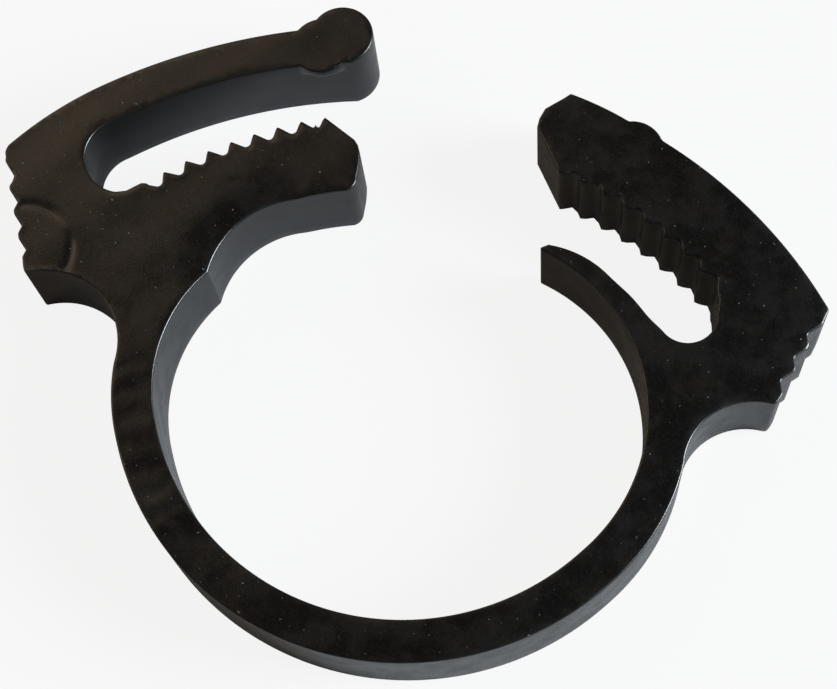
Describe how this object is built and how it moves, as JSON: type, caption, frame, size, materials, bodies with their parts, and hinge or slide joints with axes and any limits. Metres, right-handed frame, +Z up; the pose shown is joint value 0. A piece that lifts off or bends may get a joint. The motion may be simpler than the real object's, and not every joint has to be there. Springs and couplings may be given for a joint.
{
  "type": "tube clip",
  "caption": "One-piece black plastic ratchet clip that clamps a hose or tube: a springy open band with a toothed, slotted jaw at each end and ribbed plier pads.",
  "frame": {"origin": "centre of the band's round, on the underside of the clip", "axes": "+Z up through the clip's width, along the hose's axis; +Y out of the gap between the two jaws; +X to the right jaw, whose inner arm is the smooth tongue"},
  "size_m": [0.068, 0.0536, 0.0074],
  "materials": {
    "nylon": "semi-matte moulded black nylon"
  },
  "bodies": {
    "root": {"clip": "nylon"}
  },
  "joints": []
}
